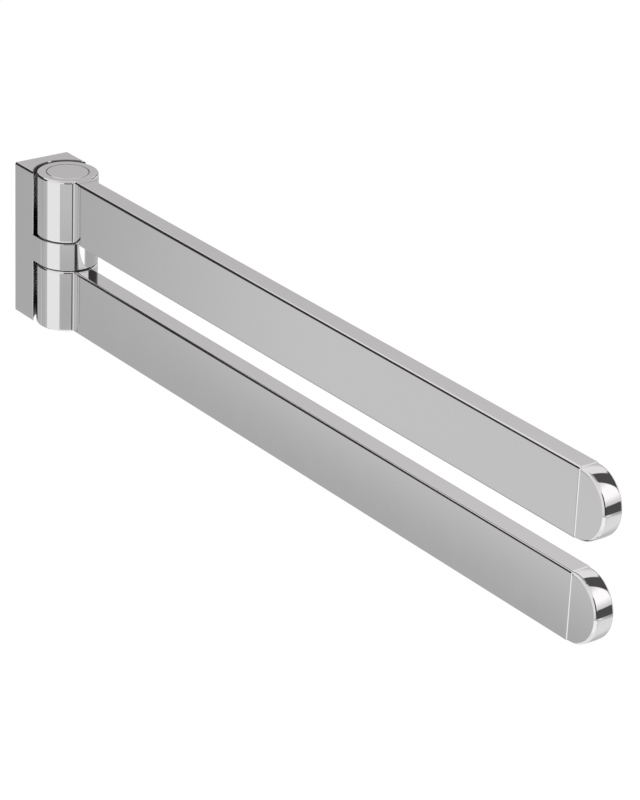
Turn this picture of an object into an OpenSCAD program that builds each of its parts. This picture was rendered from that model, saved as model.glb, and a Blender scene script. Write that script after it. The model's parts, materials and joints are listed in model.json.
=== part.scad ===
// Two-arm swivel towel bar for a wall.
// A wall bracket carries one upright pin. Each arm is a barrel that turns on the pin, a flat
// tube and a half-round end cap, and the two arms swing by themselves, one above the other.
// Millimetres. The wall is the plane y = 0, and the arms point to -Y. The origin is the centre
// of the bracket's back, and +Z is up.

/* [Arms] */
// Reach of the arms, from the wall to the tip of the end caps
projection = 440; // [300:5:600]
// Height of one arm, which is also the height of its barrel
arm_h = 32.5; // [28:0.5:40]
// Thickness of one arm
arm_t = 10.5; // [8:0.5:13]
// Wall of the arm's tube
tube_wall = 1.5; // [1:0.1:2]
// Rounding of the arm's long edges and of the barrel's rims
edge_r = 0.9; // [0.3:0.1:1.2]
// Width of the seam where the tube meets the barrel and the end cap
seam_w = 0.15; // [0.1:0.05:0.3]

// Length of the shallow bevel round the end of the tube that meets the end cap
tube_bevel = 1; // [0.4:0.1:1.6]

/* [End caps] */
// Rounding of the half-round rim
rim_r = 1.2; // [0.5:0.1:1.8]
// Straight run between the tube and the half-round nose
cap_straight = 0.3; // [0.2:0.1:5]
// Wall of the cap's shell
cap_wall = 2; // [1.5:0.1:2.5]
// Length of the hollow tongue that plugs into the tube
cap_tongue = 14; // [8:1:25]

/* [Barrels] */
// Outer diameter of the barrels and of the bracket's knuckle
barrel_d = 31; // [29:0.5:38]
// Fillet in the corner between barrel and arm
junction_r = 1; // [0.5:0.5:5]
// Straight neck between the fillet and the seam of the tube
neck_run = 2.7; // [0.5:0.1:8]
// Length of the solid tongue that plugs into the tube
barrel_tongue = 16; // [10:1:30]

/* [Covers] */
// Diameter of the disc that closes each barrel
cover_d = 21; // [19.5:0.5:23]
// Thickness of the disc
cover_t = 2.6; // [1.5:0.1:3.5]
// Bevel round the disc, which shows as a thin dark ring
cover_bevel = 0.3; // [0.1:0.1:0.6]
// Length of the split ring that holds the disc in the barrel
cover_ring = 3; // [2:0.5:4]

/* [Swivel] */
// Distance of the pin from the wall
axis_out = 24.5; // [23:0.5:34]
// Height of the bracket's knuckle, between the two arms
knuckle_h = 14; // [11:0.2:30]
// Diameter of the hinge pin
pin_d = 10; // [8:0.5:11]
// Depth of each pin end below the top or bottom of the barrels
pin_inset = 10; // [9.5:0.5:12]
// Thickness of the slip washers beside the knuckle
slip_t = 0.4; // [0.3:0.1:1]
// Grease gap between the two bushes of a barrel
bush_gap = 3.5; // [2:0.5:6]
// Wall of the bushes
bush_wall = 1.5; // [1:0.1:2]
// Thickness of the flanges of the bushes
flange_t = 1; // [0.6:0.1:1.5]
// Diameter of the flanges, the spring washers and the thrust washers
washer_d = 16.4; // [15.5:0.1:17]
// Thickness of the thrust washers
thrust_t = 1.5; // [1:0.1:2]
// Height of the coned spring washers as fitted
spring_h = 1; // [0.8:0.1:1.4]
// Thickness of the spring washers' steel
spring_t = 0.4; // [0.2:0.1:0.5]

/* [Wall bracket] */
// Gap between the barrels and the hollows that the bracket has for them
recess_gap = 1.4; // [0.8:0.1:2.5]
// Clearance that the bracket's front edges leave for an arm folded to the wall
fold_gap = 2.35; // [1.5:0.05:4]
// Rounding of the bracket's outer edges
bracket_edge_r = 0.8; // [0.3:0.1:2]
// Rounding of the knuckle's rims
knuckle_edge_r = 0.3; // [0.2:0.1:1]
// Depth of the pocket in the bracket's back
pocket_depth = 4.5; // [4.2:0.1:4.8]

/* [Wall plate] */
// Width of the plate
plate_w = 24; // [16:0.5:25]
// Thickness of the plate
plate_t = 3.5; // [3.3:0.1:4]
// Depth of the undercut by which the bracket hooks over the plate
plate_hook = 1.2; // [0.6:0.1:1.8]
// Distance between the two wall screws
wall_hole_pitch = 50; // [30:1:56]
// Diameter of the holes for the wall screws
wall_hole_d = 4.5; // [3.5:0.5:5.5]
// Diameter of the countersinks for the wall screws
wall_sink_d = 8.5; // [7:0.5:9]

/* [Screws] */
// Thread diameter of the screws in the ends of the pin
end_screw_d = 5; // [4:0.5:5.5]
// Length of those screws under the head
end_screw_l = 12; // [8:1:16]
// Diameter of their heads
end_head_d = 8.5; // [7:0.5:10]
// Height of their heads
end_head_h = 3.5; // [2.5:0.1:4]
// Thread diameter of the grub screw that locks the pin
pin_grub_d = 5; // [3:0.5:6]
// Length of that grub screw
pin_grub_l = 8; // [6:0.5:10]
// Thread diameter of the grub screw that locks the bracket to its plate
plate_grub_d = 3; // [2.5:0.5:3.5]
// Length of that grub screw
plate_grub_l = 5; // [4:0.5:5]

/* [Hidden] */
$fn = 96;

// Radial clearance of a shaft that turns in its bush
running_fit = 0.05;
// Clearance of pieces that are pressed, screwed or clamped together
seat_fit = 0.03;
// Axial play of an arm on its slip washer
axial_play = 0.1;
// Clearance between the wall plate and the pocket's walls
plate_play = 0.1;
// Room under the plate, into which the bracket drops when it hooks on
drop_room_share = 1.1;
// Clearance round the washers in the well of the barrel
well_play = 1;
// Clearance round the cover's disc, beside its bevel
cover_play = 0.1;
// How far a cut runs past the face that it opens
overrun = 0.5;
// Depth of the tube's bevel, as a share of its length
bevel_depth_share = 0.45;
// Widths and slots of the cover's split ring
ring_wall = 1;
ring_slot_w = 1.2;
ring_slots = 4;
// Ribs on the end cap's tongue
rib_count = 3;
rib_w = 1;
rib_h = 0.3;
// Relief of the tongues' flanks below the ribs
tongue_relief = 0.35;
tongue_wall = 1.2;
// Chamfers of the pin's ends and of the recess mouths
pin_chamfer = 0.5;
mouth_chamfer = 0.4;
// Hexagon sockets, as shares of the screw's thread diameter, and their number of sides
socket_af_share = 0.6;
grub_socket_af_share = 0.5;
socket_depth_share = 0.5;
hex_sides = 6;
// Dog point of the pin's grub screw, and the dimple that it enters
dog_d_share = 0.6;
dog_l = 0.6;
// Distance of the plate's grub screw from the wall, as a share of the plate's thickness
grub_place_share = 0.6;
// Wall of the bracket above and below its pocket
pocket_end_wall = 4.5;
// Unthreaded run of a tapped hole past its screw
tap_run = 2;

// Heights of the upper stack, which the lower one mirrors
knuckle_top = knuckle_h / 2;
slip_top = knuckle_top + slip_t;
arm_bottom = slip_top + axial_play;
arm_top = arm_bottom + arm_h;
arm_mid = (arm_bottom + arm_top) / 2;
pin_end = arm_top - pin_inset;
well_floor = pin_end - spring_h - flange_t;
bush_l = (well_floor - arm_bottom - flange_t - bush_gap) / 2;
thrust_top = pin_end + seat_fit + thrust_t;
cover_seat = arm_top - cover_t;

// Radii about the hinge axis
barrel_r = barrel_d / 2;
pin_r = pin_d / 2;
bush_bore_r = pin_r + running_fit;
bush_r = bush_bore_r + bush_wall;
washer_r = washer_d / 2;
well_r = washer_r + well_play;
cover_r = cover_d / 2;
slip_r = barrel_r - edge_r;
recess_r = barrel_r + recess_gap;

// Runs along the arm, counted from the hinge axis
fillet_y = arm_t / 2 + junction_r;
fillet_x = sqrt(pow(barrel_r + junction_r, 2) - pow(fillet_y, 2));
neck_end = fillet_x + neck_run;
tube_start = neck_end + seam_w;
nose_r = arm_h / 2;
nose_x = projection - axis_out - nose_r;
cap_start = nose_x - cap_straight;
tube_end = cap_start - seam_w;
bevel_depth = tube_bevel * bevel_depth_share;
bore_w = arm_t - 2 * tube_wall;
bore_h = arm_h - 2 * tube_wall;

// The bracket, its pocket and its plate
bracket_w = barrel_d;
bracket_h = 2 * arm_top;
bracket_front = axis_out - arm_t / 2 - fold_gap;
pocket_top = arm_top - pocket_end_wall;
pocket_bottom = -pocket_top;
pocket_w = plate_w + 2 * plate_play;
plate_top = pocket_top - plate_play;
plate_bottom = pocket_bottom + plate_hook * drop_room_share;
plate_grub_y = plate_t * grub_place_share;
plate_grub_tip = plate_bottom - seat_fit;

// Tones of the finishes
chrome_tone = "gainsboro";
steel_tone = "darkgray";
nylon_tone = "ivory";
acetal_tone = "dimgray";

// The hinge axis becomes the origin, and the arm runs along +X
module at_hinge() translate([0, -axis_out, 0]) rotate(-90) children();

// The upper piece as drawn, or its mirror image below the knuckle
module below(flip) mirror([0, 0, flip ? 1 : 0]) children();

// What lies outside the quarter round of a corner that points to +X +Y
module corner_waste(r) difference() {
    square(r + overrun);
    circle(r);
}

// Rectangle about the origin with round corners
module round_rect(w, h, r) difference() {
    square([w, h], center = true);
    for (sx = [0, 1], sy = [0, 1]) mirror([sx, 0]) mirror([0, sy])
        translate([w / 2 - r, h / 2 - r]) corner_waste(r);
}

// Half section of a disc that stands on z = 0, with both rims rounded
module rounded_disc_section(r, h, edge) difference() {
    square([r, h]);
    translate([r - edge, h - edge]) corner_waste(edge);
    translate([r - edge, edge]) mirror([0, 1]) corner_waste(edge);
}

// A section drawn as thickness by height, run out along the arm
module along_arm(from, to) translate([from, 0, arm_mid]) rotate([90, 0, 90])
    linear_extrude(to - from) children();

module ring(outer_r, inner_r, z0, z1) difference() {
    translate([0, 0, z0]) cylinder(r = outer_r, h = z1 - z0);
    translate([0, 0, z0 - overrun]) cylinder(r = inner_r, h = z1 - z0 + 2 * overrun);
}

module hex_socket(af, depth) translate([0, 0, -depth])
    cylinder(d = af / cos(180 / hex_sides), h = depth + overrun, $fn = hex_sides);

// Cutter that leaves the concave fillet beside the barrel, with the arm's edge rounding
module fillet_cutter() translate([fillet_x, fillet_y, arm_bottom]) rotate_extrude() {
    translate([0, -overrun]) square([junction_r, arm_h + 2 * overrun]);
    for (top = [0, 1]) translate([0, top * arm_h]) mirror([0, top]) difference() {
        translate([0, -overrun]) square([junction_r + edge_r, edge_r + overrun]);
        translate([junction_r + edge_r, edge_r]) circle(edge_r);
    }
}

// The web between barrel and neck, from the axis out to where the fillets end
module junction_web() difference() {
    translate([0, 0, arm_bottom]) linear_extrude(arm_h)
        polygon([[0, 0], [fillet_x, -fillet_y], [fillet_x, fillet_y]]);
    fillet_cutter();
    mirror([0, 1, 0]) fillet_cutter();
}

module barrel_body() {
    translate([0, 0, arm_bottom]) rotate_extrude() rounded_disc_section(barrel_r, arm_h, edge_r);
    junction_web();
    along_arm(0, neck_end) round_rect(arm_t, arm_h, edge_r);
    along_arm(0, neck_end + barrel_tongue)
        square([bore_w - 2 * seat_fit, bore_h - 2 * seat_fit], center = true);
}

module hinge_barrel(flip) color(chrome_tone) below(flip) at_hinge() difference() {
    barrel_body();
    translate([0, 0, arm_bottom - overrun]) cylinder(r = bush_r + seat_fit, h = arm_h);
    translate([0, 0, arm_bottom - overrun])
        cylinder(r = washer_r + seat_fit, h = flange_t + seat_fit + overrun);
    translate([0, 0, well_floor]) cylinder(r = well_r, h = arm_top - well_floor);
    translate([0, 0, cover_seat]) cylinder(r = cover_r + cover_play, h = cover_t + overrun);
}

// Outline of the tube with a bevel at its outer end, for a face of the given width
module bevelled_strip(width) polygon([
    [tube_start, -width / 2], [tube_end - tube_bevel, -width / 2],
    [tube_end, bevel_depth - width / 2], [tube_end, width / 2 - bevel_depth],
    [tube_end - tube_bevel, width / 2], [tube_start, width / 2],
]);

module arm_tube(flip) color(chrome_tone) below(flip) at_hinge() difference() {
    intersection() {
        along_arm(tube_start, tube_end) round_rect(arm_t, arm_h, edge_r);
        translate([0, 0, arm_bottom]) linear_extrude(arm_h) bevelled_strip(arm_t);
        translate([0, arm_t / 2, arm_mid]) rotate([90, 0, 0]) linear_extrude(arm_t)
            bevelled_strip(arm_h);
    }
    along_arm(tube_start - overrun, tube_end + overrun) square([bore_w, bore_h], center = true);
}

// Half-round body about the nose's centre, at one depth below the cap's skin
module nose(depth) {
    translate([nose_x, arm_t / 2 - depth, arm_mid]) rotate([90, 0, 0])
        rotate_extrude() rounded_disc_section(nose_r - depth, arm_t - 2 * depth, rim_r);
    along_arm(cap_start, nose_x) round_rect(arm_t - 2 * depth, arm_h - 2 * depth, rim_r);
}

module cap_shell() difference() {
    intersection() {
        nose(0);
        translate([cap_start, -arm_t / 2, arm_bottom]) cube([cap_straight + nose_r, arm_t, arm_h]);
    }
    nose(cap_wall);
}

module cap_tongue_section(relief) square(
    [bore_w - 2 * seat_fit - 2 * relief, bore_h - 2 * seat_fit - 2 * relief], center = true);

module end_cap(flip) color(chrome_tone) below(flip) at_hinge() {
    difference() {
        union() {
            cap_shell();
            along_arm(cap_start - cap_tongue, cap_start + cap_wall) cap_tongue_section(tongue_relief);
            for (i = [0:rib_count - 1]) {
                rib_x = cap_start - seam_w - rib_w - i * (cap_tongue - 2 * rib_w) / rib_count;
                along_arm(rib_x - rib_w, rib_x) cap_tongue_section(tongue_relief - rib_h);
            }
        }
        along_arm(cap_start - cap_tongue - overrun, cap_start + cap_wall + overrun)
            cap_tongue_section(tongue_relief + tongue_wall);
    }
}

module slip_washer(flip) color(acetal_tone) below(flip) at_hinge()
    ring(slip_r, bush_bore_r, knuckle_top, slip_top);

module inner_bush(flip) color(nylon_tone) below(flip) at_hinge() difference() {
    union() {
        translate([0, 0, arm_bottom]) cylinder(r = washer_r, h = flange_t);
        translate([0, 0, arm_bottom]) cylinder(r = bush_r, h = flange_t + bush_l);
    }
    translate([0, 0, arm_bottom - overrun])
        cylinder(r = bush_bore_r, h = flange_t + bush_l + 2 * overrun);
}

module outer_bush(flip) color(nylon_tone) below(flip) at_hinge() difference() {
    union() {
        translate([0, 0, well_floor + seat_fit]) cylinder(r = washer_r, h = flange_t);
        translate([0, 0, well_floor - bush_l]) cylinder(r = bush_r, h = bush_l + flange_t);
    }
    translate([0, 0, well_floor - bush_l - overrun])
        cylinder(r = bush_bore_r, h = flange_t + bush_l + 2 * overrun);
}

module spring_washer(flip) {
    low = well_floor + flange_t + 2 * seat_fit;
    color(steel_tone) below(flip) at_hinge() rotate_extrude() polygon([
        [washer_r, low], [washer_r, low + spring_t],
        [pin_r + 2 * running_fit, pin_end], [pin_r + 2 * running_fit, pin_end - spring_t],
    ]);
}

module thrust_washer(flip) color(steel_tone) below(flip) at_hinge()
    ring(washer_r, end_screw_d / 2 + running_fit, pin_end + seat_fit, thrust_top);

module end_screw() difference() {
    union() {
        translate([0, 0, thrust_top]) cylinder(d = end_head_d, h = end_head_h);
        translate([0, 0, thrust_top - end_screw_l]) cylinder(d = end_screw_d, h = end_screw_l + seat_fit);
    }
    translate([0, 0, thrust_top + end_head_h])
        hex_socket(end_screw_d * socket_af_share, end_screw_d * socket_depth_share);
}

module retaining_screws() color(steel_tone) for (flip = [false, true])
    below(flip) at_hinge() end_screw();

module cover_cap(flip) color(chrome_tone) below(flip) at_hinge() {
    translate([0, 0, cover_seat]) rotate_extrude() polygon([
        [0, 0], [cover_r, 0], [cover_r, cover_t - cover_bevel], [cover_r - cover_bevel, cover_t],
        [0, cover_t],
    ]);
    difference() {
        ring(well_r - seat_fit, well_r - seat_fit - ring_wall, cover_seat - cover_ring, cover_seat);
        for (i = [0:ring_slots - 1]) rotate(i * 360 / ring_slots)
            translate([0, -ring_slot_w / 2, cover_seat - cover_ring - overrun])
                cube([well_r + overrun, ring_slot_w, cover_ring]);
    }
}

module hinge_pin() color(steel_tone) at_hinge() difference() {
    rotate_extrude() polygon([
        [0, -pin_end], [pin_r - pin_chamfer, -pin_end], [pin_r, pin_chamfer - pin_end],
        [pin_r, pin_end - pin_chamfer], [pin_r - pin_chamfer, pin_end], [0, pin_end],
    ]);
    for (flip = [false, true]) below(flip)
        translate([0, 0, thrust_top - end_screw_l - tap_run])
            cylinder(d = end_screw_d + 2 * seat_fit, h = end_screw_l + tap_run);
    rotate([0, -90, 0]) translate([0, 0, pin_r - dog_l])
        cylinder(d = pin_grub_d * dog_d_share + 2 * seat_fit, h = dog_l + overrun);
}

// Grub screw that stands on z = 0 with its point down, and is driven from above
module grub_screw(d, l, point) {
    difference() {
        translate([0, 0, point]) cylinder(d = d, h = l - point);
        translate([0, 0, l]) hex_socket(d * grub_socket_af_share, d * socket_depth_share);
    }
    if (point > 0) cylinder(d = d * dog_d_share, h = point + seat_fit);
}

module pin_lock_screw() color(steel_tone)
    translate([0, pin_r - axis_out - dog_l + seat_fit, 0]) rotate([-90, 0, 0])
        grub_screw(pin_grub_d, pin_grub_l, dog_l);

module plate_lock_screw() color(steel_tone)
    translate([0, -plate_grub_y, plate_grub_tip]) rotate([180, 0, 0])
        grub_screw(plate_grub_d, plate_grub_l, 0);

// Side view of the pocket, or of the plate, drawn as distance from the wall by height
module hooked_outline(depth, bottom, top) polygon([
    [-overrun, bottom], [depth, bottom], [depth, top], [plate_t, top],
    [0, top - plate_hook], [-overrun, top - plate_hook],
]);

// A side view as an extrusion across the bracket
module across(width) rotate([0, 0, -90]) rotate([90, 0, 0])
    translate([0, 0, -width / 2]) linear_extrude(width) children();

module wall_plate() color(steel_tone) difference() {
    intersection() {
        across(plate_w) hooked_outline(plate_t, plate_bottom, plate_top);
        across(plate_w) translate([0, plate_bottom]) square([plate_t, plate_top - plate_bottom]);
    }
    for (z = [-wall_hole_pitch / 2, wall_hole_pitch / 2]) translate([0, -plate_t, z])
        rotate([-90, 0, 0]) {
            cylinder(d = wall_hole_d, h = plate_t + overrun);
            cylinder(d1 = wall_sink_d, d2 = wall_hole_d, h = (wall_sink_d - wall_hole_d) / 2);
        }
}

// The block with its rounded edges, less the two hollows for the barrels
module bracket_block() difference() {
    rotate([90, 0, 0]) linear_extrude(bracket_front) round_rect(bracket_w, bracket_h, bracket_edge_r);
    for (flip = [false, true]) below(flip) at_hinge() {
        translate([0, 0, knuckle_top]) cylinder(r = recess_r, h = arm_top);
        translate([0, 0, arm_top - mouth_chamfer])
            cylinder(r1 = recess_r, r2 = recess_r + mouth_chamfer, h = mouth_chamfer);
    }
}

// The middle of the bracket, which holds the pin
module knuckle() {
    at_hinge() translate([0, 0, -knuckle_top]) rotate_extrude()
        rounded_disc_section(barrel_r, knuckle_h, knuckle_edge_r);
    translate([0, -pocket_depth, 0]) rotate([90, 0, 0])
        linear_extrude(axis_out - pocket_depth) round_rect(bracket_w, knuckle_h, knuckle_edge_r);
}

module wall_bracket() color(chrome_tone) difference() {
    union() {
        bracket_block();
        knuckle();
    }
    across(pocket_w) hooked_outline(pocket_depth, pocket_bottom, pocket_top);
    at_hinge() translate([0, 0, -knuckle_h]) cylinder(r = pin_r + seat_fit, h = 2 * knuckle_h);
    translate([0, -axis_out, 0]) rotate([-90, 0, 0])
        cylinder(d = pin_grub_d + 2 * seat_fit, h = axis_out - pocket_depth + overrun);
    translate([0, -plate_grub_y, -arm_top - overrun])
        cylinder(d = plate_grub_d + 2 * seat_fit, h = pocket_end_wall + 2 * overrun);
}

wall_bracket();
wall_plate();
plate_lock_screw();
hinge_pin();
pin_lock_screw();
slip_washer(false);  // upper_slip_washer
slip_washer(true);  // lower_slip_washer
hinge_barrel(false);  // upper_hinge_barrel
hinge_barrel(true);  // lower_hinge_barrel
arm_tube(false);  // upper_arm_tube
arm_tube(true);  // lower_arm_tube
end_cap(false);  // upper_end_cap
end_cap(true);  // lower_end_cap
inner_bush(false);  // upper_inner_bush
inner_bush(true);  // lower_inner_bush
outer_bush(false);  // upper_outer_bush
outer_bush(true);  // lower_outer_bush
spring_washer(false);  // upper_spring_washer
spring_washer(true);  // lower_spring_washer
thrust_washer(false);  // upper_thrust_washer
thrust_washer(true);  // lower_thrust_washer
retaining_screws();
cover_cap(false);  // top_cover_cap
cover_cap(true);  // bottom_cover_cap
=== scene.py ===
"""Looks of the two-arm swivel towel bar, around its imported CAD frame.

The outer chrome pieces are rebuilt here on finer meshes, with the sizes of the part's source, and
the inner pieces keep their CAD meshes. Shapes are drawn in millimetres and turned into metres when
a piece is made. An arm is drawn with its hinge axis as the origin, running along +X.
"""

import json
import math

import bmesh
import bpy
from mathutils import Euler, Matrix, Vector


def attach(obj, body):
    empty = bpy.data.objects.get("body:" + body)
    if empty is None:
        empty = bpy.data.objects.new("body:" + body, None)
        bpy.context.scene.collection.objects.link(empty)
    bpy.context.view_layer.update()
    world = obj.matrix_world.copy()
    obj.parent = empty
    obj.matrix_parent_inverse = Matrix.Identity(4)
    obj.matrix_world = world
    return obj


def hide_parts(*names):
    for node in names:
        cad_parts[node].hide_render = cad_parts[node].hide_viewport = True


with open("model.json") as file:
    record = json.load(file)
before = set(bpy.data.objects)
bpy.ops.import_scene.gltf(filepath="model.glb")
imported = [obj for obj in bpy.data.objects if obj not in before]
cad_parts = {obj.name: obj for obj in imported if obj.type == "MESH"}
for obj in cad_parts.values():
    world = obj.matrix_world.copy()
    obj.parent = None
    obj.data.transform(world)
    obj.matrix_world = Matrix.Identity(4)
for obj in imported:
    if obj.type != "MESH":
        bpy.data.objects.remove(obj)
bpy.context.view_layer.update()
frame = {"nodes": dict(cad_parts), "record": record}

MM = 0.001

# Sizes of the part's source, in millimetres
AXIS_OUT = 24.5
ARM_H = 32.5
ARM_T = 10.5
TUBE_WALL = 1.5
SEAM_W = 0.15
TUBE_BEVEL = 1
BEVEL_DEPTH = 0.45
REACH = 440 - AXIS_OUT
CAP_STRAIGHT = 0.3
CAP_TONGUE = 14
CAP_TONGUE_WALL = 1.2
CAP_TONGUE_RELIEF = 0.35
RIB_COUNT = 3
RIB_W = 1
RIB_H = 0.3
BARREL_R = 15.5
JUNCTION_R = 1
NECK_RUN = 2.7
BARREL_TONGUE = 16
COVER_R = 10.5
COVER_T = 2.6
COVER_PLAY = 0.1
COVER_RING = 3
COVER_RING_WALL = 1
SEAT_FIT = 0.03
KNUCKLE_TOP = 7
ARM_BOTTOM = 7.5
PIN_R = 5
PIN_GRUB_R = 2.5
PLATE_GRUB_R = 1.5
PLATE_GRUB_Y = 2.1
BUSH_R = 6.55
WASHER_R = 8.2
WELL_R = 9.2
WELL_FLOOR = 28
FLANGE_T = 1
RECESS_R = 16.9
BRACKET_W = 31
BRACKET_FRONT = 16.9
KNUCKLE_EDGE_R = 0.3
MOUTH_CHAMFER = 0.4
POCKET_DEPTH = 4.5
POCKET_W = 24.2
POCKET_END_WALL = 4.5
PLATE_T = 3.5
PLATE_HOOK = 1.2

# Sizes that follow from them
ARM_TOP = ARM_BOTTOM + ARM_H
ARM_MID = ARM_BOTTOM + ARM_H / 2
FILLET_Y = ARM_T / 2 + JUNCTION_R
FILLET_X = math.sqrt((BARREL_R + JUNCTION_R) ** 2 - FILLET_Y ** 2)
NECK_END = FILLET_X + NECK_RUN
TUBE_START = NECK_END + SEAM_W
NOSE_R = ARM_H / 2
NOSE_X = REACH - NOSE_R
CAP_START = NOSE_X - CAP_STRAIGHT
TUBE_END = CAP_START - SEAM_W
BORE_W = ARM_T - 2 * TUBE_WALL
BORE_H = ARM_H - 2 * TUBE_WALL
COVER_SEAT = ARM_TOP - COVER_T
POCKET_TOP = ARM_TOP - POCKET_END_WALL

# Details that only the looks have: broken edges, and the crown and rim of the end caps. The
# edge radii are a little over those of the source, as wide as the lines that the photo shows.
EDGE_R = 1.1
BRACKET_EDGE_R = 1.0
SEAM_EDGE = 0.1
HOLE_EDGE = 0.3
COVER_EDGE = 0.45
LIP_R = 0.25
CAP_CROWN = 0.15
RIM_FLAT = 1.0
RIM_INNER_R = 0.25
RIM_OUTER_R = 1.3
SHOULDER_START_DEG = 28
SHOULDER_END_DEG = 15
SHOULDER_R = 7.1

# Fineness of the meshes
ARC_STEP_DEG = 2.5
ROUND_STEPS = 8
SMALL_ROUND_STEPS = 4
CROWN_STEPS = 12
CIRCLE_STEPS = 128
END_STEPS = 6
SHARP_DEG = 28
WELD = 1e-4
OVERRUN = 1.0

# A face lies level where the Z of its normal is at least this
LEVEL_NORMAL = 0.99

# Darkest and lightest tone of each material
CHROME_TONES = (0.558, 0.558, 0.558, 1), (0.572, 0.572, 0.572, 1)
STEEL_TONES = (0.60, 0.603, 0.595, 1), (0.645, 0.643, 0.628, 1)
NYLON_TONES = (0.84, 0.83, 0.78, 1), (0.88, 0.87, 0.82, 1)
ACETAL_TONES = (0.10, 0.10, 0.11, 1), (0.14, 0.14, 0.15, 1)
PAPER_TONES = (0.79, 0.79, 0.79, 1), (0.81, 0.81, 0.81, 1)
# Painted shade in the bracket's hollows, with painted light in their upper part, and painted shade in the
# gap round each cover
HOLLOW_PAINTED_SHADE_AND_LIGHT = (0.10, 0.80)
GAP_PAINTED_SHADE = (0.22, 0.22)

# Noise: the values between which nearly all of it lies, and those that the chrome's haze uses.
# Then the stretch that makes turning marks, and how far pebbles move a plastic's roughness.
NOISE_SPAN = (0.3, 0.7)
HAZE_SPAN = (0.35, 0.75)
TURNING_MARKS = (400.0, 400.0, 9000.0)
PEBBLE_SPREAD = 0.06

# Where painted light in a hollow starts on the way up and where it turns back to painted shade, by its
# share of the step between hollows
PAINTED_LIGHT_FROM = (0.20, 0.38)
PAINTED_LIGHT_TO = (0.635, 0.615)


# Nodes

class Graph:
    """Short calls that make the nodes of one tree and join them."""

    def __init__(self, tree):
        self.tree = tree
        tree.nodes.clear()

    def node(self, kind, feeds=None, **settings):
        made = self.tree.nodes.new(kind)
        for name, value in settings.items():
            setattr(made, name, value)
        for key, value in (feeds or {}).items():
            if isinstance(value, bpy.types.NodeSocket):
                self.tree.links.new(value, made.inputs[key])
            else:
                made.inputs[key].default_value = value
        return made

    def math(self, operation, a, b=0.0):
        return self.node("ShaderNodeMath", {0: a, 1: b}, operation=operation).outputs[0]

    def span(self, value, start, end, low=0.0, high=1.0):
        """Goes smoothly from low at start to high at end."""
        feeds = {"Value": value, "From Min": start, "From Max": end, "To Min": low, "To Max": high}
        made = self.node("ShaderNodeMapRange", feeds, interpolation_type="SMOOTHSTEP")
        return made.outputs["Result"]

    def blend(self, share, a, b):
        """a where share is 0 and b where it is 1, for numbers."""
        return self.node("ShaderNodeMix", {0: share, 2: a, 3: b}, data_type="FLOAT").outputs[0]

    def mix_color(self, share, a, b):
        made = self.node("ShaderNodeMix", {0: share, 6: a, 7: b}, data_type="RGBA")
        return made.outputs[2]

    def noise(self, place, scale, detail=2.0, roughness=0.5):
        feeds = {"Vector": place, "Scale": scale, "Detail": detail, "Roughness": roughness}
        return self.node("ShaderNodeTexNoise", feeds).outputs["Fac"]

    def bump(self, height, distance, strength=1.0, under=None):
        """Normal that follows height, on top of another bump where one is given."""
        feeds = {"Height": height, "Distance": distance, "Strength": strength}
        if under is not None:
            feeds["Normal"] = under
        return self.node("ShaderNodeBump", feeds).outputs["Normal"]

    def output(self, shader, kind="ShaderNodeOutputMaterial"):
        self.node(kind, {"Surface": shader})

    def principled(self, feeds):
        """Ends a material's tree with the usual shader."""
        self.output(self.node("ShaderNodeBsdfPrincipled", feeds).outputs[0])


def new_material(name):
    material = bpy.data.materials.new(name)
    material.use_nodes = True
    return material, Graph(material.node_tree)


def object_place(graph):
    return graph.node("ShaderNodeTexCoord").outputs["Object"]


def stretched(graph, place, scale):
    return graph.node("ShaderNodeMapping", {"Vector": place, "Scale": scale}).outputs[0]


def chrome_material():
    """Bright chrome plate: faint haze from handling, and the slight waviness of polished metal."""
    material, g = new_material("chrome_plate")
    place = object_place(g)
    haze = g.noise(place, scale=70.0, detail=4.0, roughness=0.6)
    wave = g.noise(place, scale=45.0, detail=1.0)
    grain = g.bump(g.noise(place, scale=2600.0), distance=6e-7)
    g.principled({
        "Base Color": g.mix_color(haze, *CHROME_TONES), "Metallic": 1.0,
        "Roughness": g.span(haze, *HAZE_SPAN, low=0.035, high=0.06),
        "Normal": g.bump(wave, distance=4e-6, under=grain),
    })
    return material


def painted_shade_material(name, low, high):
    """Unpolished plate in a gap with painted shade: grey value low, and high in a hollow's upper part as
    painted light.
    """
    material, g = new_material(name)
    place = object_place(g)
    cloud = g.noise(place, scale=300.0, detail=3.0)
    level = g.node("ShaderNodeSeparateXYZ", {0: place}).outputs["Z"]
    hollow_step = (ARM_TOP + KNUCKLE_TOP) * MM
    climb = g.math("FRACT", g.math("DIVIDE", g.math("ADD", level, ARM_TOP * MM), hollow_step))
    # Painted light in a hollow's upper part, over painted shade below
    painted_light_share = g.math("MULTIPLY", g.span(climb, *PAINTED_LIGHT_FROM), g.span(climb, *PAINTED_LIGHT_TO))
    shade = g.blend(painted_light_share, low, high)
    g.principled({
        "Base Color": g.math("MULTIPLY", shade, g.span(cloud, *NOISE_SPAN, low=0.85, high=1.15)),
        "Metallic": 0.35, "Roughness": g.span(cloud, *NOISE_SPAN, low=0.4, high=0.55),
        "Normal": g.bump(cloud, distance=2e-5, strength=0.4),
    })
    return material


def steel_material():
    """Zinc-plated steel with fine turning marks and cloudy patches."""
    material, g = new_material("zinc_steel")
    place = object_place(g)
    cloud = g.noise(place, scale=160.0, detail=3.0, roughness=0.6)
    marks = g.noise(stretched(g, place, TURNING_MARKS), scale=1.0)
    g.principled({
        "Base Color": g.mix_color(cloud, *STEEL_TONES), "Metallic": 1.0,
        "Roughness": g.span(cloud, *NOISE_SPAN, low=0.31, high=0.37),
        "Normal": g.bump(marks, distance=1e-5, strength=0.5),
    })
    return material


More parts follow.
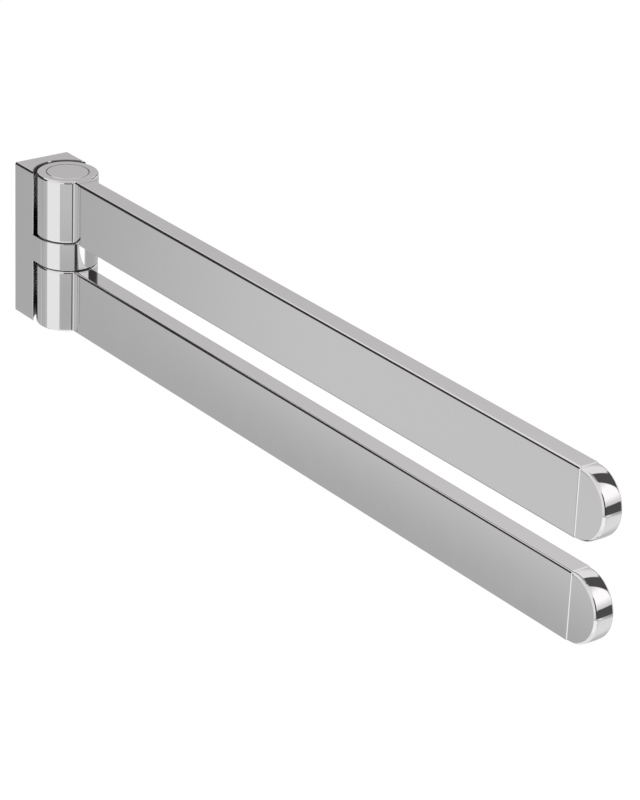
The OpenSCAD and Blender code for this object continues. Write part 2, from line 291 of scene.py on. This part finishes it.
def plastic_material(name, tones, roughness):
    """Moulded plastic with a fine pebbled skin."""
    material, g = new_material(name)
    place = object_place(g)
    cloud = g.noise(place, scale=220.0, detail=3.0)
    pebble = g.noise(place, scale=5200.0)
    smooth, rough = roughness - PEBBLE_SPREAD, roughness + PEBBLE_SPREAD
    g.principled({
        "Base Color": g.mix_color(cloud, *tones),
        "Roughness": g.span(pebble, *NOISE_SPAN, smooth, rough),
        "Normal": g.bump(pebble, distance=1e-5, strength=0.6),
    })
    return material


# Drawing

def arc(x, y, radius, start_deg, end_deg, steps):
    """Points on an arc, each with the direction away from its centre."""
    made = []
    for i in range(steps + 1):
        a = math.radians(start_deg + (end_deg - start_deg) * i / steps)
        made.append((x + radius * math.cos(a), y + radius * math.sin(a), math.cos(a), math.sin(a)))
    return made


def steps_for(degrees):
    return max(2, round(abs(degrees) / ARC_STEP_DEG))


def quarter(steps=ROUND_STEPS):
    """Inset and run, in shares of the radius, along a quarter round that starts on the side."""
    angles = [math.pi / 2 * i / steps for i in range(steps + 1)]
    return [(1 - math.cos(a), math.sin(a)) for a in angles]


def rounded_levels(low, high, radius, steps=ROUND_STEPS):
    """(inset, level) pairs up a wall whose two ends are rounded."""
    up = [(radius * inset, high - radius + radius * run) for inset, run in quarter(steps)]
    return [(inset, low + high - level) for inset, level in reversed(up)] + up


def join_rings(mesh, rings, closed):
    """Quads between neighbouring rings. Closed joins the last to the first, or both ends get a cap."""
    rows = [[mesh.verts.new(point) for point in ring] for ring in rings]
    following = rows[1:] + rows[:1] if closed else rows[1:]
    for a, b in zip(rows, following):
        for i in range(len(a)):
            j = (i + 1) % len(a)
            mesh.faces.new((a[i], a[j], b[j], b[i]))
    if not closed:
        mesh.faces.new(rows[0][::-1])
        mesh.faces.new(rows[-1])


def solid(rings, closed=False):
    mesh = bmesh.new()
    join_rings(mesh, rings, closed)
    return tidy(mesh)


def tidy(mesh):
    bmesh.ops.remove_doubles(mesh, verts=mesh.verts, dist=WELD)
    bmesh.ops.recalc_face_normals(mesh, faces=mesh.faces)
    return mesh


def moved(mesh, matrix):
    bmesh.ops.transform(mesh, matrix=matrix, verts=mesh.verts)
    return mesh


def add_solid(mesh, other):
    """Puts the faces of another solid into the mesh."""
    holder = bpy.data.meshes.new("holder")
    other.to_mesh(holder)
    mesh.from_mesh(holder)
    bpy.data.meshes.remove(holder)
    other.free()


def new_object(name, mesh, materials=()):
    """An object in the scene made from the mesh, which is used up."""
    data = bpy.data.meshes.new(name)
    mesh.to_mesh(data)
    mesh.free()
    for material in materials:
        data.materials.append(material)
    made = bpy.data.objects.new(name, data)
    bpy.context.scene.collection.objects.link(made)
    return made


def circle_ring(radius, z, angles):
    return [(radius * math.cos(a), radius * math.sin(a), z) for a in angles]


def full_circle(steps=CIRCLE_STEPS):
    return [2 * math.pi * i / steps for i in range(steps)]


def lathe(profile, steps=CIRCLE_STEPS):
    """Solid of revolution about Z from (radius, z) pairs, with a flat cap at each end."""
    return solid([circle_ring(r, z, full_circle(steps)) for r, z in profile])


def round_rect(width, height, radius, steps=ROUND_STEPS):
    """Outline of a rectangle about the origin with round corners."""
    made = []
    for sx, sy, start in ((1, 1, 0), (-1, 1, 90), (-1, -1, 180), (1, -1, 270)):
        x, y = sx * (width / 2 - radius), sy * (height / 2 - radius)
        made += [(p[0], p[1]) for p in arc(x, y, radius, start, start + 90, steps)]
    return made


def section_ring(x, width, height, radius):
    """A round-cornered section of the arm at one place along it."""
    return [(x, y, ARM_MID + z) for y, z in round_rect(width, height, radius)]


def cut(mesh, cutters):
    """The solid less each cutter in turn."""
    objects = [new_object("cut", part) for part in [mesh] + cutters]
    for cutter in objects[1:]:
        modifier = objects[0].modifiers.new("cut", "BOOLEAN")
        modifier.operation, modifier.solver, modifier.object = "DIFFERENCE", "EXACT", cutter
    result = bpy.data.meshes.new_from_object(
        objects[0].evaluated_get(bpy.context.evaluated_depsgraph_get()))
    made = bmesh.new()
    made.from_mesh(result)
    for o in objects:
        bpy.data.meshes.remove(o.data)
    bpy.data.meshes.remove(result)
    return tidy(made)


# Pieces

def gets_painted_shade(name, point, normal):
    """Whether a face is on the wall of a hollow for a barrel, or in the gap round a cover: the faces that
    get painted shade.
    """
    reach = math.hypot(point.x, point.y + AXIS_OUT * MM) / MM
    level = abs(point.z) / MM
    if name == "bracket_casting":
        return abs(reach - RECESS_R) < LIP_R / 2 and level > KNUCKLE_TOP
    near_gap = WELL_R < reach < COVER_R + COVER_PLAY + HOLE_EDGE and level > COVER_SEAT
    return name.endswith("barrel") and near_gap and abs(normal.z) < LEVEL_NORMAL


def add_piece(name, mesh, looks, body, node):
    """A finished piece of the object, which stands for one CAD node. A second look, for faces in hollows
    and gaps, has painted shade and painted light.
    """
    moved(mesh, Matrix.Scale(MM, 4))
    for face in mesh.faces:
        face.smooth = True
        # Faces in hollows and gaps take the second look, with its painted shade
        face.material_index = int(gets_painted_shade(name, face.calc_center_median(), face.normal))
    for edge in mesh.edges:
        edge.smooth = edge.calc_face_angle(0) < math.radians(SHARP_DEG)
    piece = new_object(name, mesh, looks)
    normals = piece.modifiers.new("normals", "WEIGHTED_NORMAL")
    normals.weight, normals.keep_sharp = 100, True
    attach(piece, body)
    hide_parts(node)
    return piece


def placed(mesh, flip):
    """From the arm's own axes to the row frame, mirrored below the knuckle for the lower arm."""
    side = -1 if flip else 1
    place = Matrix(((0, 1, 0, 0), (-1, 0, 0, -AXIS_OUT), (0, 0, side, 0), (0, 0, 0, 1)))
    return tidy(moved(mesh, place))


def barrel_outline():
    """Half plan of neck, corner, shoulder and barrel, from the neck's end to the back, with normals."""
    start, end = math.radians(SHOULDER_START_DEG), math.radians(SHOULDER_END_DEG)
    x = (BARREL_R - SHOULDER_R) * math.cos(start)
    y = (BARREL_R - SHOULDER_R) * math.sin(start)
    corner_r = (y + SHOULDER_R * math.sin(end) - ARM_T / 2) / (1 - math.sin(end))
    corner_x = x + (SHOULDER_R + corner_r) * math.cos(end)
    corner = arc(corner_x, ARM_T / 2 + corner_r, corner_r, -90, SHOULDER_END_DEG - 180, ROUND_STEPS)
    half = [(NECK_END, ARM_T / 2, 0, 1)] + [(px, py, -nx, -ny) for px, py, nx, ny in corner]
    half += arc(x, y, SHOULDER_R, SHOULDER_END_DEG, SHOULDER_START_DEG, ROUND_STEPS)[1:]
    return half + arc(0, 0, BARREL_R, SHOULDER_START_DEG, 180, steps_for(180 - SHOULDER_START_DEG))[1:]


def barrel_ring(inset, z):
    half = [(x - nx * inset, y - ny * inset) for x, y, nx, ny in barrel_outline()]
    outline = half + [(x, -y) for x, y in reversed(half[:-1])]
    end_y = half[0][1]
    outline += [(NECK_END, -end_y + 2 * end_y * i / END_STEPS) for i in range(1, END_STEPS)]
    return [(x, y, z) for x, y in outline]


def hinge_barrel(flip):
    rings = [barrel_ring(inset, z) for inset, z in rounded_levels(ARM_BOTTOM, ARM_TOP, EDGE_R)]
    angles = [math.atan2(y, x) for x, y, _ in barrel_ring(0, 0)]
    hole_r, flange_r, bore_r = COVER_R + COVER_PLAY, WASHER_R + SEAT_FIT, BUSH_R + SEAT_FIT
    flange_top = ARM_BOTTOM + FLANGE_T + SEAT_FIT
    rings += [circle_ring(r, z, angles) for r, z in (
        (hole_r + HOLE_EDGE, ARM_TOP), (hole_r, ARM_TOP - HOLE_EDGE), (hole_r, COVER_SEAT),
        (WELL_R, COVER_SEAT), (WELL_R, WELL_FLOOR), (bore_r, WELL_FLOOR), (bore_r, flange_top),
        (flange_r, flange_top), (flange_r, ARM_BOTTOM),
    )]
    mesh = solid(rings, closed=True)
    tongue = [section_ring(x, BORE_W - 2 * SEAT_FIT - inset, BORE_H - 2 * SEAT_FIT - inset, SEAM_W)
              for x, inset in ((NECK_END - OVERRUN, 0), (NECK_END + BARREL_TONGUE - RIB_H, 0),
                               (NECK_END + BARREL_TONGUE, RIB_H))]
    add_solid(mesh, solid(tongue))
    return placed(mesh, flip)


def arm_tube(flip):
    """Flat tube with a fine edge at the barrel and the wide bevel at the end cap."""
    end_r = EDGE_R / 3
    rings = [section_ring(x, ARM_T - 2 * inset, ARM_H - 2 * inset, radius) for x, inset, radius in (
        (TUBE_START, SEAM_EDGE, EDGE_R), (TUBE_START + SEAM_EDGE, 0, EDGE_R),
        (TUBE_END - TUBE_BEVEL, 0, EDGE_R), (TUBE_END, BEVEL_DEPTH, EDGE_R - BEVEL_DEPTH),
        (TUBE_END, TUBE_WALL, end_r), (TUBE_START, TUBE_WALL, end_r),
    )]
    return placed(solid(rings, closed=True), flip)


def cap_ring(inset, y):
    """Side view of the end cap at one place across it, moved inwards by inset."""
    radius = NOSE_R - inset
    nose = arc(NOSE_X, ARM_MID, radius, -90, 90, steps_for(180))
    outline = [(CAP_START, ARM_MID - radius)] + [(p[0], p[1]) for p in nose]
    outline.append((CAP_START, ARM_MID + radius))
    return [(x, y, z) for x, z in outline]


def cap_profile():
    """(inset, y) pairs across half of the cap: the crown, then the flat along its rim, softened."""
    edge = ARM_T / 2 - RIM_FLAT
    inner, outer = rim_bend(RIM_INNER_R), rim_bend(RIM_OUTER_R)
    made = [(CAP_CROWN * (i / CROWN_STEPS) ** 2, (edge + outer[0][1]) * i / CROWN_STEPS)
            for i in range(CROWN_STEPS + 1)]
    made += [(CAP_CROWN + u, edge + v) for u, v in outer[1:]]
    return made + [(CAP_CROWN + RIM_FLAT - v, ARM_T / 2 - u) for u, v in reversed(inner)]


def rim_bend(radius):
    """Points of a rounding that turns by half a right angle, from where it leaves the first side."""
    run = radius * math.tan(math.pi / 8)
    angles = [math.pi / 4 * i / SMALL_ROUND_STEPS for i in range(SMALL_ROUND_STEPS + 1)]
    return [(radius * (1 - math.cos(a)), radius * math.sin(a) - run) for a in angles]


def cap_tongue():
    """Hollow tongue of the end cap, with its ribs."""
    start = CAP_START - CAP_TONGUE
    size = 2 * (SEAT_FIT + CAP_TONGUE_RELIEF)
    steps = [(start, size)]
    for i in reversed(range(RIB_COUNT)):
        rib = CAP_START - SEAM_W - RIB_W - i * (CAP_TONGUE - 2 * RIB_W) / RIB_COUNT
        steps += [(rib - RIB_W, size), (rib - RIB_W, size - 2 * RIB_H),
                  (rib, size - 2 * RIB_H), (rib, size)]
    steps.append((CAP_START + OVERRUN, size))
    hollow = size + 2 * CAP_TONGUE_WALL
    steps += [(CAP_START + OVERRUN, hollow), (start, hollow)]
    return solid([section_ring(x, BORE_W - s, BORE_H - s, SEAM_W) for x, s in steps], closed=True)


def end_cap(flip):
    half = cap_profile()
    across = [(inset, -y) for inset, y in reversed(half[1:])] + half
    mesh = solid([cap_ring(inset, y) for inset, y in across])
    add_solid(mesh, cap_tongue())
    return placed(mesh, flip)


def cover_cap(flip):
    """Disc with a rounded rim, and the ring under it that holds it in the barrel."""
    rim = [(COVER_R - COVER_EDGE * inset, ARM_TOP - COVER_EDGE + COVER_EDGE * run)
           for inset, run in quarter()]
    mesh = lathe([(COVER_R - SEAM_EDGE, COVER_SEAT), (COVER_R, COVER_SEAT + SEAM_EDGE)] + rim)
    outer, inner = WELL_R - SEAT_FIT, WELL_R - SEAT_FIT - COVER_RING_WALL
    low, high = COVER_SEAT - COVER_RING, COVER_SEAT + SEAM_EDGE
    levels = ((outer, low), (outer, high), (inner, high), (inner, low))
    add_solid(mesh, solid([circle_ring(r, z, full_circle()) for r, z in levels], closed=True))
    return placed(mesh, flip)


# Wall bracket, drawn in the row frame

def recess_start():
    """Lip centre beside the hollow for the barrel, and the angle of its touching point."""
    y = LIP_R - BRACKET_FRONT
    x = math.sqrt((RECESS_R + LIP_R) ** 2 - (y + AXIS_OUT) ** 2)
    return x, y, math.degrees(math.atan2(y + AXIS_OUT, x))


def block_outline():
    """Plan of the bracket beside the barrels, from its back on the left to its back on the right."""
    x, y, angle = recess_start()
    side = BRACKET_W / 2
    corner = arc(LIP_R - side, y, LIP_R, 180, 270, SMALL_ROUND_STEPS)
    lip = arc(-x, y, LIP_R, 270, 360 - angle, SMALL_ROUND_STEPS)
    hollow = arc(0, -AXIS_OUT, RECESS_R, 180 - angle, 90, steps_for(90 - angle))
    half = [(-side, 0)] + [(p[0], p[1]) for p in corner + lip[1:] + hollow[1:]]
    return half + [(-px, py) for px, py in reversed(half[:-1])]


def knuckle_outline(inset):
    """Plan of the bracket at the knuckle, with as many points as the plan beside the barrels."""
    _, y, angle = recess_start()
    side = BRACKET_W / 2
    runs = 2 * SMALL_ROUND_STEPS
    flank = [(inset - side if i else -side, y + (-AXIS_OUT - y) * i / runs) for i in range(runs + 1)]
    front = arc(0, -AXIS_OUT, BARREL_R - inset, 180, 270, steps_for(90 - angle))
    half = [(-side, 0)] + flank + [(p[0], p[1]) for p in front[1:]]
    return half + [(-px, py) for px, py in reversed(half[:-1])]


def bracket_body():
    levels = rounded_levels(-KNUCKLE_TOP, KNUCKLE_TOP, KNUCKLE_EDGE_R, SMALL_ROUND_STEPS)
    rings = [[(x, y, z) for x, y in knuckle_outline(inset)] for inset, z in levels]
    for side in (-1, 1):
        ends = [[(x, y, side * z) for x, y in block_outline()] for z in (KNUCKLE_TOP, ARM_TOP)]
        rings = ends[::-1] + rings if side < 0 else rings + ends
    return solid(rings)


def corner_cutter(sx, sz):
    """Takes off what lies outside the rounding of one long edge of the bracket."""
    r = BRACKET_EDGE_R
    points = [(r + OVERRUN, 0), (r + OVERRUN, r + OVERRUN), (0, r + OVERRUN)]
    points += [(p[0], p[1]) for p in arc(0, 0, r, 90, 0, ROUND_STEPS)]
    x0, z0 = BRACKET_W / 2 - r, ARM_TOP - r
    return solid([[(sx * (x0 + x), y, sz * (z0 + z)) for x, z in points]
                  for y in (OVERRUN, -BRACKET_FRONT - OVERRUN)])


def mouth_cutter(side):
    grown = MOUTH_CHAMFER + OVERRUN
    levels = ((RECESS_R, ARM_TOP - MOUTH_CHAMFER), (RECESS_R + grown, ARM_TOP + OVERRUN))
    mesh = lathe(levels)
    return tidy(moved(mesh, Matrix(((1, 0, 0, 0), (0, 1, 0, -AXIS_OUT), (0, 0, side, 0), (0, 0, 0, 1)))))


def pocket_cutter():
    outline = [(OVERRUN, -POCKET_TOP), (-POCKET_DEPTH, -POCKET_TOP), (-POCKET_DEPTH, POCKET_TOP),
               (-PLATE_T, POCKET_TOP), (0, POCKET_TOP - PLATE_HOOK), (OVERRUN, POCKET_TOP - PLATE_HOOK)]
    return solid([[(x, y, z) for y, z in outline] for x in (-POCKET_W / 2, POCKET_W / 2)])


def hole_cutter(radius, start, end):
    """Cylinder from one point to another."""
    start, end = Vector(start), Vector(end)
    turn = (end - start).to_track_quat("Z", "Y").to_matrix().to_4x4()
    mesh = lathe([(radius, 0), (radius, (end - start).length)], CIRCLE_STEPS // 2)
    return tidy(moved(mesh, Matrix.Translation(start) @ turn))


def wall_bracket():
    cutters = [corner_cutter(sx, sz) for sx in (-1, 1) for sz in (-1, 1)]
    cutters += [mouth_cutter(-1), mouth_cutter(1), pocket_cutter()]
    pin = 2 * KNUCKLE_TOP
    cutters.append(hole_cutter(PIN_R + SEAT_FIT, (0, -AXIS_OUT, -pin), (0, -AXIS_OUT, pin)))
    cutters.append(hole_cutter(PIN_GRUB_R + SEAT_FIT, (0, -AXIS_OUT, 0), (0, -POCKET_DEPTH + OVERRUN, 0)))
    cutters.append(hole_cutter(PLATE_GRUB_R + SEAT_FIT, (0, -PLATE_GRUB_Y, -ARM_TOP - OVERRUN),
                               (0, -PLATE_GRUB_Y, -POCKET_TOP + OVERRUN)))
    return cut(bracket_body(), cutters)


# Studio, in metres. FLOOR_LIFT is what the floor adds to its own light where it is looked at, and
# WORLD_LEVEL is what the world lights with, while it looks white.

WHITE = (1, 1, 1, 1)
FLOOR_Z = -2.4
FLOOR_SIZE = 56.0
FLOOR_LIFT = 0.43
WORLD_LEVEL = 0.72
LAMP_PLACE = (-0.9, -1.2, 2.2)
LAMP_AIM = (0.0, -0.2, 0.0)
LAMP_SIZE = 1.8
LAMP_POWER = 24
CAMERA_PLACE = (-0.79406675, -1.290345, 0.58640617)
CAMERA_TURN_DEG = (65.91442, -2.19249, -36.10872)
CAMERA_LENS = 143.3356
CAMERA_SENSOR = 36

# The light tent that the chrome mirrors. Its azimuth is in degrees from +X, counter-clockwise,
# and runs from SEAM_AZ to a full turn more. Its elevation is in degrees above the horizon.
TENT_R = 30.0
TENT_FINENESS = 6
SEAM_AZ = 150
TENT_TURN_DEG = SEAM_AZ + 180

# Wall of the tent, over the paper: it brightens on the way up, and a little towards its foot
WALL_START_EL = (-19.5, -18.5)
WALL_CLIMB_EL = (17, 40)
WALL_LEVELS = (0.72, 1.30)
WALL_FOOT_EL = (10, -18)
WALL_FOOT_RISE = 0.3
WALL_TINT = (1.0, 0.970, 0.977, 1)

# Paper that the arms' left faces mirror. Lean joins azimuth and elevation so that it stays the
# same along an arm. The field is the brighter part that the arms' outer ends mirror, and past its
# end only FIELD_REST of its rise is left.
LEAN_AZ = 482
LEAN_SLOPE = 0.5
BACK_LEVEL = 0.65
FIELD_RISE = 0.28
FIELD_REST = 0.02
FIELD_AZ = (480.8, 487.8)
FIELD_START_LEAN = (-18.4, -19.8)
FIELD_END_LEAN = (-21.2, -23.1)
BEYOND_AZ = (493, 500)
BEYOND_LEVEL = 0.73

# Paper that the barrels' bands mirror, in front and to the right
FRONT_AZ = (205, 220)
FRONT_LEFT_LEVEL = 0.80
FRONT_DROP_EL = (-20.4, -22.4)
FRONT_LEVELS = (0.87, 0.69)
RIGHT_AZ = (302, 318)
RIGHT_LEVELS = (0.86, 0.64)
RIGHT_LOW_EL = (-21.5, -29)
RIGHT_LOW_LEVEL = 1.2
FAR_RIGHT_AZ = (330, 385)
FAR_RIGHT_LEVEL = 0.70
FRONT_TO_RIGHT_AZ = (290, 310)
RIGHT_TO_BACK_AZ = (430, 460)

# Cards: name, azimuth from and to, elevation from and to, slant in degrees of azimuth for each
# degree of elevation, half the width of the soft edges in degrees, and radiance. The upright edges
# are no softer than SIDE_SOFT. A later card covers an earlier one.
SIDE_SOFT = 2.0
CARDS = (
    ("low_dark", (271, 330), (-19, 3), 0, 0.8, 0.12),
    ("back_dark", (478, 530), (-19, 36.5), 0, 0.6, 0.05),
    ("back_dark_high", (442, 478), (-19, 41), 0, 0.6, 0.05),
    ("left_dark", (118, 158), (-19, 36.5), 0, 0.6, 0.05),
    ("front_dark", (226, 264), (-19, 36.5), 0, 0.6, 0.06),
    ("near_paper", (150, 292), (-91, -23.8), 0, 0.7, 1.5),
    ("under_paper", (0, 720), (-91, -58), 0, 4.0, 1.3),
    ("bright_side", (158, 210), (-24, -10), 0, 1.2, 1.36),
    ("side_high", (158, 224), (35, 75), 0, 1.2, 1.2),
    ("side_softbox", (158, 224), (-18, 38), 0, 1.2, 1.3),
    ("front_dark_strip", (265, 271.5), (-40, 5), 0, 1.2, 0.05),
    ("right_light", (316, 376), (1, 18), 0, 1.0, 1.5),
    ("right_dark_far", (374, 397), (18, 30), 0, 1.8, 0.22),
    ("right_dark_low", (300, 376), (18, 44), 0, 1.2, 0.10),
    ("right_dark_high", (240, 317), (40.5, 66), 1.18, 3.2, 0.12),
    ("low_strip", (284, 306), (-22.4, -20.9), 0, 0.3, 1.75),
    ("front_softbox", (264, 318.5), (2.5, 64), 0.25, 1.0, 1.05),
    ("front_softbox_core", (264, 318.5), (13, 50), 0.25, 11.0, 1.75),
    ("ceiling", (0, 720), (73, 91), 0, 6.0, 0.45),
)


def seen_share(g):
    """1 for what the camera, a mirror or glass sees, and 0 for light."""
    path = g.node("ShaderNodeLightPath").outputs
    seen = g.math("MAXIMUM", path["Is Camera Ray"], path["Is Glossy Ray"])
    return g.math("MAXIMUM", seen, path["Is Transmission Ray"])


def floor_material():
    """Pale paper. It is lit as paint is, and the rest of its white goes to what looks at it."""
    material, g = new_material("floor_paper")
    fibre = g.noise(object_place(g), scale=900.0, detail=3.0)
    g.principled({
        "Base Color": g.mix_color(fibre, *PAPER_TONES), "Roughness": 0.9, "Specular IOR Level": 0.0,
        "Emission Color": WHITE, "Emission Strength": g.math("MULTIPLY", seen_share(g), FLOOR_LIFT),
    })
    return material


def add_floor():
    mesh = bmesh.new()
    bmesh.ops.create_grid(mesh, x_segments=1, y_segments=1, size=FLOOR_SIZE / 2)
    moved(mesh, Matrix.Translation((0, 0, FLOOR_Z)))
    floor = new_object("floor", mesh, [floor_material()])
    floor.visible_glossy = False


def tent_direction(g):
    """Azimuth and elevation of a place on the tent."""
    place = g.node("ShaderNodeSeparateXYZ", {0: object_place(g)}).outputs
    turn = g.math("ARCTAN2", place["Y"], place["X"])
    lift = g.math("ARCSINE", g.math("DIVIDE", place["Z"], TENT_R))
    az = g.math("ADD", g.math("MULTIPLY", turn, math.degrees(1)), TENT_TURN_DEG)
    return az, g.math("MULTIPLY", lift, math.degrees(1))


def back_paper(g, az, el):
    """Radiance of the paper on the wall's side, with its field."""
    lean = g.math("ADD", el, g.math("MULTIPLY", g.math("SUBTRACT", az, LEAN_AZ), LEAN_SLOPE))
    field = g.math("MULTIPLY", g.span(az, *FIELD_AZ, high=FIELD_RISE), g.span(lean, *FIELD_START_LEAN))
    drop = g.math("MULTIPLY", g.math("ADD", field, -FIELD_REST), g.span(lean, *FIELD_END_LEAN))
    level = g.math("SUBTRACT", g.math("ADD", field, BACK_LEVEL), drop)
    return g.blend(g.span(az, *BEYOND_AZ), level, BEYOND_LEVEL)


def front_paper(g, az, el):
    """Radiance of the paper on the left and in front, darker lower down."""
    return g.blend(g.span(az, *FRONT_AZ), FRONT_LEFT_LEVEL, g.span(el, *FRONT_DROP_EL, *FRONT_LEVELS))


def right_paper(g, az, el):
    """Radiance of the paper on the right, brighter lower down."""
    level = g.blend(g.span(az, *RIGHT_AZ), *RIGHT_LEVELS)
    level = g.blend(g.span(el, *RIGHT_LOW_EL), level, RIGHT_LOW_LEVEL)
    return g.blend(g.span(az, *FAR_RIGHT_AZ), level, FAR_RIGHT_LEVEL)


def wall_level(g, el):
    """Radiance of the tent's wall."""
    return g.math("ADD", g.span(el, *WALL_CLIMB_EL, *WALL_LEVELS),
                  g.span(el, *WALL_FOOT_EL, high=WALL_FOOT_RISE))


def within(g, value, limits, soft):
    """1 between the two limits and 0 outside them, over edges that are soft to either side."""
    low, high = limits
    return g.math("MULTIPLY", g.span(value, low - soft, low + soft),
                  g.span(value, high + soft, high - soft))


def tent_material():
    """Paper below, the tent's wall above it, and the cards on both."""
    material, g = new_material("tent_light")
    az, el = tent_direction(g)
    level = g.blend(g.span(az, *FRONT_TO_RIGHT_AZ), front_paper(g, az, el), right_paper(g, az, el))
    level = g.blend(g.span(az, *RIGHT_TO_BACK_AZ), level, back_paper(g, az, el))
    above = g.span(el, *WALL_START_EL)
    level = g.blend(above, level, wall_level(g, el))
    for _, az_limits, el_limits, slant, soft, radiance in CARDS:
        turned = g.math("SUBTRACT", az, g.math("MULTIPLY", el, slant)) if slant else az
        across = within(g, turned, az_limits, min(soft, SIDE_SOFT))
        share = g.math("MULTIPLY", across, within(g, el, el_limits, soft))
        level = g.blend(share, level, radiance)
    hue = g.mix_color(above, WHITE, WALL_TINT)
    g.output(g.node("ShaderNodeEmission", {"Color": hue, "Strength": level}).outputs[0])
    material.cycles.emission_sampling = "NONE"
    return material


def add_tent():
    """Light tent with its cards. Only mirrors see it, so it lights nothing and hides nothing."""
    mesh = bmesh.new()
    bmesh.ops.create_icosphere(mesh, subdivisions=TENT_FINENESS, radius=TENT_R)
    tent = new_object("light_tent", mesh, [tent_material()])
    tent.rotation_euler = (0, 0, math.radians(TENT_TURN_DEG))
    tent.visible_camera = tent.visible_diffuse = tent.visible_shadow = False
    tent.visible_transmission = tent.visible_volume_scatter = False


def add_world():
    world = bpy.data.worlds.new("studio")
    world.use_nodes = True
    g = Graph(world.node_tree)
    glow = {"Color": WHITE, "Strength": g.blend(seen_share(g), WORLD_LEVEL, 1.0)}
    g.output(g.node("ShaderNodeBackground", glow).outputs[0], "ShaderNodeOutputWorld")
    bpy.context.scene.world = world


def add_lamp():
    lamp = bpy.data.objects.new("soft_lamp", bpy.data.lights.new("soft_lamp", "AREA"))
    lamp.data.shape, lamp.data.size, lamp.data.energy = "DISK", LAMP_SIZE, LAMP_POWER
    bpy.context.scene.collection.objects.link(lamp)
    lamp.location = LAMP_PLACE
    lamp.rotation_euler = (Vector(LAMP_AIM) - Vector(LAMP_PLACE)).to_track_quat("-Z", "Y").to_euler()
    lamp.visible_glossy = False


def add_camera():
    camera = bpy.data.objects.new("camera", bpy.data.cameras.new("camera"))
    bpy.context.scene.collection.objects.link(camera)
    camera.location = CAMERA_PLACE
    camera.rotation_euler = Euler([math.radians(a) for a in CAMERA_TURN_DEG], "XYZ")
    camera.data.lens, camera.data.sensor_width = CAMERA_LENS, CAMERA_SENSOR
    bpy.context.scene.camera = camera


# The scene

add_camera()
add_world()
add_lamp()
add_floor()
add_tent()
bpy.context.scene.view_settings.view_transform = "Standard"

chrome = chrome_material()
steel = steel_material()
nylon = plastic_material("nylon", NYLON_TONES, roughness=0.45)
acetal = plastic_material("acetal", ACETAL_TONES, roughness=0.4)
# Painted shade for hollows and gaps, with painted light in the hollows' upper part
hollow_painted_shade = painted_shade_material("hollow_painted_shade", *HOLLOW_PAINTED_SHADE_AND_LIGHT)
gap_painted_shade = painted_shade_material("gap_painted_shade", *GAP_PAINTED_SHADE)

SLOT_LOOKS = {"chrome": chrome, "steel": steel, "nylon": nylon, "acetal": acetal}
for part in frame["record"]["subparts"]:
    data = frame["nodes"][part["node"]].data
    data.materials.clear()
    data.materials.append(SLOT_LOOKS[part["material_slot"]])

add_piece("bracket_casting", wall_bracket(), [chrome, hollow_painted_shade], "bracket", "wall_bracket")
for arm, flip, cover in (("upper", False, "top"), ("lower", True, "bottom")):
    for build, name, node, looks in (
        (hinge_barrel, "barrel", arm + "_hinge_barrel", [chrome, gap_painted_shade]),
        (arm_tube, "bar", arm + "_arm_tube", [chrome]),
        (end_cap, "tip", arm + "_end_cap", [chrome]),
        (cover_cap, "disc", cover + "_cover_cap", [chrome]),
    ):
        add_piece(arm + "_" + name, build(flip), looks, arm + "_arm", node)
